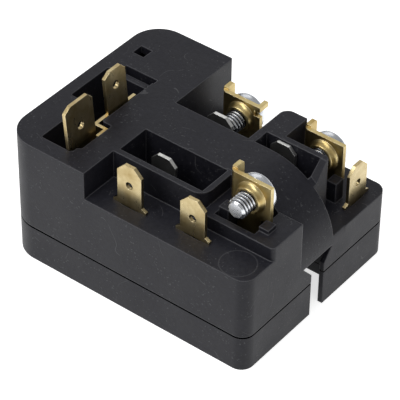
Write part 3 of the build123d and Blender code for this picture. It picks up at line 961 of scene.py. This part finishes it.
class RELAY_OT_brass(bpy.types.Operator):
    """Give the tabs, blades, strips and screw plates their brass, and the plates their collars"""

    bl_idname = "relay.brass"
    bl_label = "Brass pieces"

    def execute(self, context):
        metal = context.scene.relay.metal
        upright = sheet_metal(
            "rolled_brass",
            metal.brass,
            metal.brass_deep,
            rough=0.16,
            brush=UPRIGHT_BRUSH,
            edge_radius=metal.edge_radius,
            edge_highlight=metal.brass_edge_highlight,
        )
        dress(("front_tab_left", "front_tab_right", "deck_tab"), upright)
        dress(("pocket_blade_wide", "pocket_blade_narrow"), upright)
        golden = sheet_metal(
            "golden_brass",
            metal.golden_brass,
            metal.golden_deep,
            rough=0.22,
            brush=UPRIGHT_BRUSH,
            edge_radius=metal.edge_radius,
            edge_highlight=metal.brass_edge_highlight,
        )
        self.draw_collars(context.scene.relay.screw, golden)
        flat = sheet_metal(
            "strip_brass",
            metal.brass,
            metal.brass_deep,
            rough=0.2,
            brush=LENGTHWISE_BRUSH,
            edge_radius=metal.edge_radius,
        )
        dress(("run_strip", "start_strip", "common_strip", "line_strip", "disc_strip"), flat)
        return {"FINISHED"}

    def draw_collars(self, sizes, golden):
        """Give each screw plate its drawn collar, flared at the root and bored for the thread."""
        collar = self.model_collar(sizes)
        bore = round_bar(
            "bore", sizes.bore, -2 * sizes.collar_length, 2 * sizes.plate, ROUND_SEGMENTS
        )
        for name in SCREWS:
            node = name + "_plate"
            dress((node,), golden)
            plate = self.copy_plate(node, MOUNTS[name])
            combine(plate, laid_copy(collar, "collar_copy", MOUNTS[name]), "UNION")
            combine(plate, laid_copy(bore, "bore_copy", MOUNTS[name]), "DIFFERENCE")
            finish_piece(plate, golden, degrees=24)
            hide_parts(node)
            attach(plate, BODY)
        bpy.data.objects.remove(collar, do_unlink=True)
        bpy.data.objects.remove(bore, do_unlink=True)

    def model_collar(self, sizes):
        """A collar along Z in front of the plate's face: a flare that ends in a lip."""
        collar = round_bar("collar", sizes.collar_root, -STUB, sizes.plate / 2, ROUND_SEGMENTS)
        edit(collar, "FACE")
        pick(collar, "polygons", looks_down)
        radius = sizes.collar_root
        for share, taper in COLLAR_PROFILE:
            wanted = sizes.collar_root + (sizes.collar_lip - sizes.collar_root) * taper
            bpy.ops.mesh.extrude_region_move(
                TRANSFORM_OT_translate={"value": (0, 0, -share * (sizes.collar_length - STUB))}
            )
            bpy.ops.transform.resize(value=(wanted / radius, wanted / radius, 1))
            radius = wanted
        deselect()
        return collar

    def copy_plate(self, node, place):
        """A merged copy of a CAD plate, with its collar cut off just in front of the plate."""
        plate = merged_copy(node, "_drawn")
        edit(plate)
        bpy.ops.mesh.select_all(action="SELECT")
        cut = (place.x, place.y - STUB / 2, place.z)
        bpy.ops.mesh.bisect(plane_co=cut, plane_no=(0, 1, 0), use_fill=True, clear_inner=True)
        bpy.ops.mesh.select_all(action="SELECT")
        bpy.ops.mesh.remove_doubles(threshold=MERGE_REACH)
        bpy.ops.mesh.normals_make_consistent(inside=False)
        deselect()
        return plate


class RELAY_OT_pin_contacts(bpy.types.Operator):
    """Give the pin contacts their dull tin, and the disc and its springs their finish"""

    bl_idname = "relay.pin_contacts"
    bl_label = "Pin contacts and disc"

    def execute(self, context):
        metal = context.scene.relay.metal
        tin = sheet_metal(
            "dull_tin",
            metal.tin,
            metal.tin_deep,
            rough=0.22,
            brush=TIN_BRUSH,
            edge_radius=metal.edge_radius,
            edge_highlight=metal.tin_edge_highlight,
        )
        dress(("run_pin_contact", "start_pin_contact", "common_pin_contact"), tin)
        spring = sheet_metal(
            "spring_steel",
            metal.tin_deep,
            metal.tin_deep,
            rough=0.3,
            brush=SPRING_BRUSH,
            edge_radius=metal.edge_radius,
        )
        dress(("disc_spring_front", "disc_spring_back"), spring)
        dress(("ceramic_disc",), fired_ceramic())
        return {"FINISHED"}


class RELAY_OT_screws(bpy.types.Operator):
    """Model the terminal screws with their thread and cross recess"""

    bl_idname = "relay.screws"
    bl_label = "Terminal screws"

    def execute(self, context):
        metal = context.scene.relay.metal
        sizes = context.scene.relay.screw
        zinc = sheet_metal(
            "bright_zinc",
            metal.zinc,
            metal.zinc_deep,
            rough=0.12,
            brush=ZINC_BRUSH,
            edge_radius=metal.edge_radius,
            # Painted shade in the thread's gaps
            gap_shade=GAP_SHADE_SHARE * sizes.pitch,
        )
        dress(("terminal_screws",), zinc)
        screw = self.model_thread(sizes)
        combine(screw, self.model_blank(sizes), "INTERSECT")
        combine(screw, self.model_head(sizes), "UNION")
        combine(screw, self.model_cross(sizes), "DIFFERENCE")
        finish_piece(screw, zinc, degrees=35)
        for number, name in enumerate(SCREWS):
            turn = FIRST_TURN + NEXT_TURN * number
            copy = laid_copy(screw, name + "_threaded", MOUNTS[name], turn)
            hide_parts("terminal_screws")
            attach(copy, BODY)
        bpy.data.objects.remove(screw, do_unlink=True)
        return {"FINISHED"}

    def model_thread(self, sizes):
        """A helical thread along Z, closed at both ends, longer than the screw."""
        root = sizes.radius - sizes.depth
        bottom = -sizes.reach - SPARE_TURNS / 2 * sizes.pitch
        turns = int((sizes.reach + sizes.plate) / sizes.pitch) + SPARE_TURNS
        merge_reach = sizes.pitch * THREAD_MERGE_SHARE
        # Outward and upward steps of the profile: root, lower flank, crest and upper flank
        steps = (
            (0, sizes.pitch * ROOT_SHARE),
            (sizes.depth, sizes.pitch * FLANK_SHARE),
            (0, sizes.pitch * CREST_SHARE),
            (-sizes.depth, sizes.pitch * FLANK_SHARE),
        )
        deselect()
        bpy.ops.mesh.primitive_plane_add(size=sizes.pitch, location=(0, 0, 0))
        thread = bpy.context.object
        edit(thread)
        pick(thread, "vertices", lambda vertex: vertex.index > 0)
        bpy.ops.mesh.delete(type="VERT")
        pick(thread, "vertices", lambda vertex: True)
        corner = thread.data.vertices[0].co
        bpy.ops.transform.translate(value=(root - corner.x, -corner.y, bottom - corner.z))
        for outward, upward in steps:
            bpy.ops.mesh.extrude_vertices_move(
                TRANSFORM_OT_translate={"value": (outward, 0, upward)}
            )
        apply(
            thread,
            "SCREW",
            axis="Z",
            steps=sizes.steps,
            render_steps=sizes.steps,
            iterations=turns,
            screw_offset=sizes.pitch,
            use_merge_vertices=True,
            merge_threshold=merge_reach,
        )
        edit(thread)
        bpy.ops.mesh.select_all(action="SELECT")
        bpy.ops.mesh.remove_doubles(threshold=merge_reach)
        bpy.ops.mesh.select_all(action="DESELECT")
        bpy.ops.mesh.select_non_manifold()
        bpy.ops.mesh.fill_holes(sides=0)
        bpy.ops.mesh.select_all(action="SELECT")
        bpy.ops.mesh.normals_make_consistent(inside=False)
        deselect()
        return thread

    def model_blank(self, sizes):
        """The outer form of the thread: a bar with a bevelled tip, which ends inside the head."""
        radius = sizes.radius * BLANK_SHARE
        blank = round_bar("blank", radius, -sizes.reach, sizes.plate * 1.5, sizes.steps)
        edit(blank, "FACE")
        pick(blank, "polygons", looks_down)
        bpy.ops.mesh.bevel(offset=sizes.depth * TIP_BEVEL_SHARE, segments=1, affect="EDGES")
        deselect()
        return blank

    def model_head(self, sizes):
        """A pan head above the plate, with a rounded rim."""
        top = sizes.plate + sizes.head_height
        head = round_bar("head", sizes.head_radius, sizes.plate, top, 2 * sizes.steps)
        edit(head, "FACE")
        pick(head, "polygons", looks_up)
        bpy.ops.mesh.bevel(offset=sizes.head_height * RIM_SHARE, segments=6, affect="EDGES")
        pick(head, "polygons", looks_down)
        bpy.ops.mesh.bevel(offset=sizes.head_height * UNDERSIDE_SHARE, segments=2, affect="EDGES")
        deselect()
        return head

    def model_cross(self, sizes):
        """The cross recess: two crossed wedges that narrow downwards."""
        top = sizes.plate + sizes.head_height
        blades = []
        for turn in (0, math.pi / 2):
            deselect()
            bpy.ops.mesh.primitive_cube_add(size=sizes.head_height, location=(0, 0, top))
            blade = bpy.context.object
            edit(blade, "FACE")
            bpy.ops.mesh.select_all(action="SELECT")
            bpy.ops.transform.resize(value=CROSS_SHARES)
            pick(blade, "polygons", looks_down)
            bpy.ops.transform.resize(value=CROSS_TAPER)
            bpy.ops.mesh.select_all(action="SELECT")
            bpy.ops.transform.rotate(value=turn, orient_axis="Z", center_override=(0, 0, 0))
            choose(blade)
            bpy.ops.object.transform_apply(location=True, rotation=True, scale=True)
            blades.append(blade)
        combine(blades[0], blades[1], "UNION")
        return blades[0]


def add_lamp(name, place, size, power, target):
    """Add a rectangular lamp of a width and a height at a place, aimed at a target."""
    light = bpy.data.lights.new(name, "AREA")
    light.shape = "RECTANGLE"
    light.size, light.size_y = size
    light.energy = power
    lamp = bpy.data.objects.new(name, light)
    bpy.context.scene.collection.objects.link(lamp)
    lamp.location = place
    lamp.rotation_euler = (target - Vector(place)).to_track_quat("-Z", "Y").to_euler()


class RELAY_OT_stage(bpy.types.Operator):
    """Put up the floor, the lamps and the camera"""

    bl_idname = "relay.stage"
    bl_label = "Stage"

    def execute(self, context):
        settings = context.scene.relay.stage
        self.add_floor(settings)
        self.add_lamps(settings)
        self.add_world(context, settings)
        self.add_camera(context, settings)
        return {"FINISHED"}

    def add_floor(self, settings):
        """A wide floor under the object."""
        deselect()
        bpy.ops.mesh.primitive_plane_add(size=settings.floor_size, location=(0, 0, 0))
        floor = bpy.context.object
        floor.name = "floor"
        floor.data.materials.append(pale_floor(settings))

    def add_lamps(self, settings):
        """Four soft lamps, all aimed at the object."""
        aim = Vector(settings.aim)
        add_lamp("key_lamp", (-0.25, -0.45, 0.55), (0.35, 0.35), settings.key_power, aim)
        add_lamp("fill_lamp", (0.60, -0.20, 0.35), (0.40, 0.40), settings.fill_power, aim)
        add_lamp("back_lamp", (-0.38, 0.50, 0.52), (0.50, 0.50), settings.back_power, aim)
        add_lamp("top_lamp", (0.05, -0.15, 0.80), (0.50, 0.30), settings.top_power, aim)

    def add_world(self, context, settings):
        """Even white light from all round, shown as it is."""
        world = bpy.data.worlds.new("even_light")
        world.use_nodes = True
        background = world.node_tree.nodes["Background"]
        background.inputs["Color"].default_value = WHITE
        background.inputs["Strength"].default_value = settings.world_level
        context.scene.world = world
        context.scene.view_settings.view_transform = "Standard"

    def add_camera(self, context, settings):
        """A camera on its circle round the aim, slid sideways and rolled a little."""
        optics = bpy.data.cameras.new("camera")
        optics.lens = settings.lens
        optics.clip_start = 10 * MILLIMETRE
        camera = bpy.data.objects.new("camera", optics)
        context.scene.collection.objects.link(camera)
        tilt = Matrix.Rotation(math.pi / 2 - settings.elevation, 4, "X")
        turn = Matrix.Rotation(settings.azimuth, 4, "Z")
        roll = Matrix.Rotation(settings.roll, 4, "Z")
        facing = turn @ tilt @ roll
        shift = Vector((*settings.slide, settings.distance))
        camera.matrix_world = Matrix.Translation(Vector(settings.aim) + facing @ shift) @ facing
        context.scene.camera = camera


class RELAY_PT_panel(bpy.types.Panel):
    """Lists the steps that finish and stage the relay"""

    bl_label = "Start relay"
    bl_idname = "RELAY_PT_panel"
    bl_space_type = "VIEW_3D"
    bl_region_type = "UI"
    bl_category = "Relay"

    def draw(self, context):
        for step in STEPS:
            self.layout.operator(step.bl_idname)


STEPS = (
    RELAY_OT_mouldings,
    RELAY_OT_brass,
    RELAY_OT_pin_contacts,
    RELAY_OT_screws,
    RELAY_OT_stage,
)
GROUPS = (RelayHousing, RelayMetal, RelayScrew, RelayStage, RelaySettings)
CLASSES = (*GROUPS, *STEPS, RELAY_PT_panel)


def register():
    for entry in CLASSES:
        bpy.utils.register_class(entry)
    bpy.types.Scene.relay = PointerProperty(type=RelaySettings)


def unregister():
    del bpy.types.Scene.relay
    for entry in reversed(CLASSES):
        bpy.utils.unregister_class(entry)


def main():
    register()
    bpy.ops.relay.mouldings()
    bpy.ops.relay.brass()
    bpy.ops.relay.pin_contacts()
    bpy.ops.relay.screws()
    bpy.ops.relay.stage()


if __name__ == "__main__":
    main()
